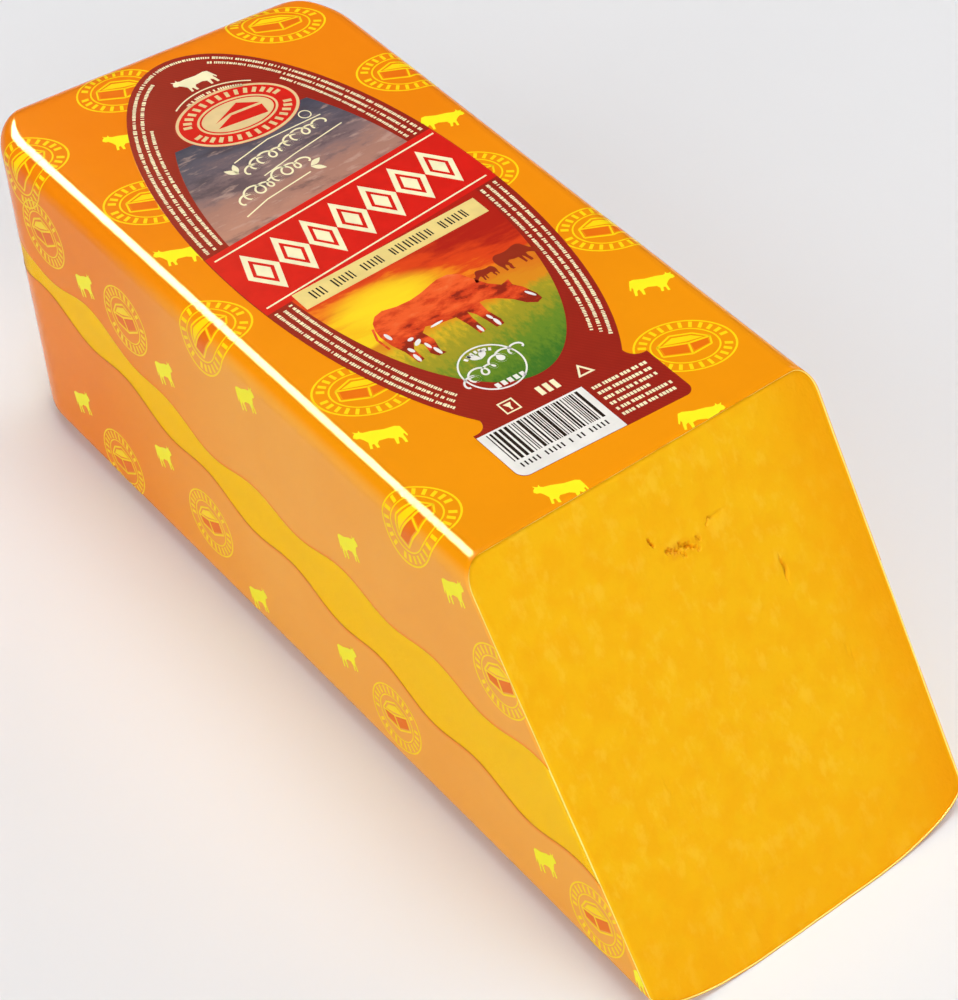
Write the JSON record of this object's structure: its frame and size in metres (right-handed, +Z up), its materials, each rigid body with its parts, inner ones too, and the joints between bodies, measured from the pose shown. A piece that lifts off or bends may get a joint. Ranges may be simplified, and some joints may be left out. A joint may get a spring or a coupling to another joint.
{
  "type": "cheddar block",
  "caption": "Long rounded block of orange cheddar with a slanting cut at one end, in a printed shrink wrap with an oval label on top.",
  "frame": {"origin": "centre of the whole wrapped block's footprint, on the surface it rests on", "axes": "+Z up, +Y along the length towards the wrapped far end, -Y towards the cut end, +X across the width; the label's top points to +Y"},
  "size_m": [0.1196, 0.3132, 0.1009],
  "materials": {
    "cheese": "smooth waxy cheese, faintly mottled",
    "film": "tight glossy shrink wrap printed orange, with yellow figures and clear side strips",
    "label": "smooth printed label, dark red"
  },
  "bodies": {
    "root": {"cheese": "cheese", "film": "film", "label": "label"}
  },
  "joints": []
}
